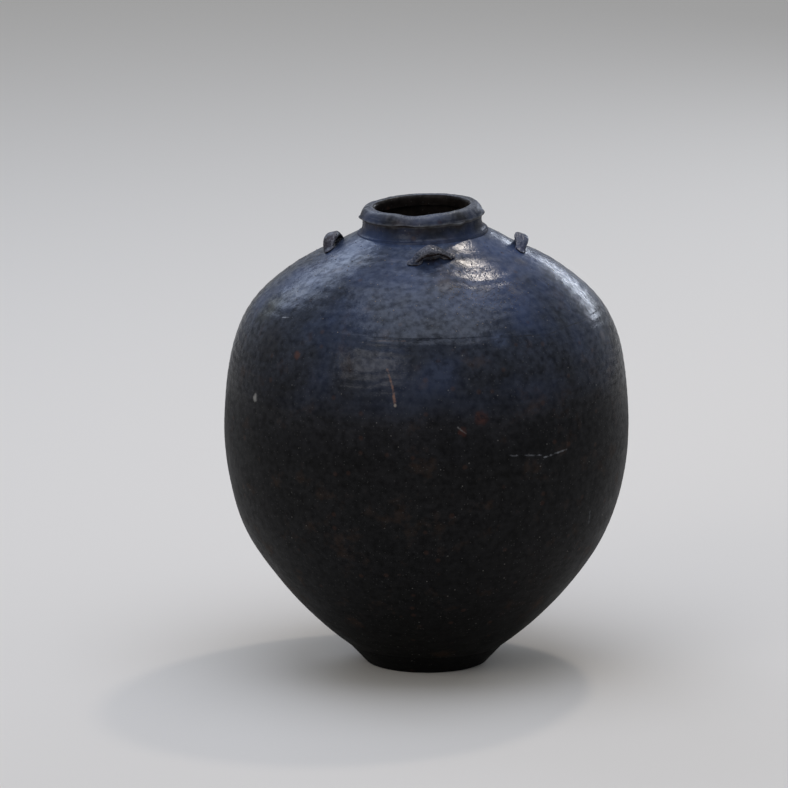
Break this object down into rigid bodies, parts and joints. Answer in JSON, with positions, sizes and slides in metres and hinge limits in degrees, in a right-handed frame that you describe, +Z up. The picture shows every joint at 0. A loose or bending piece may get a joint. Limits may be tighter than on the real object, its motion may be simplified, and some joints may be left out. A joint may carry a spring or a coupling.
{
  "type": "storage jar",
  "caption": "Large round-bellied stoneware storage jar with a narrow foot, a low neck with a rolled rim, and strap lugs on the shoulder for tying down a cover.",
  "frame": {"origin": "centre of the foot's underside, at floor level", "axes": "+Z up along the jar's axis; -Y is the front, seen in the picture; +X is to the right in the picture"},
  "size_m": [0.6077, 0.6078, 0.7034],
  "materials": {
    "foot_glaze": "matte, nearly black, unevenly glazed",
    "wall_glaze": "dark brown-black ash glaze, dull on the belly, with fine pale specks and scratches",
    "shoulder_glaze": "dark brown-black glaze with a worn gloss, kiln grit and pale scuffs",
    "lug_glaze": "dark glaze, worn to brown along the edges",
    "mouth_glaze": "dark glaze, worn gritty and paler along the lip"
  },
  "bodies": {
    "root": {"base": "foot_glaze", "heel_band": "wall_glaze", "lower_band": "wall_glaze", "belly_band": "wall_glaze", "upper_band": "wall_glaze", "shoulder": "shoulder_glaze", "neck": "mouth_glaze", "rim": "mouth_glaze", "lug_front": "lug_glaze", "lug_right": "lug_glaze", "lug_back": "lug_glaze", "lug_left": "lug_glaze"}
  },
  "joints": []
}
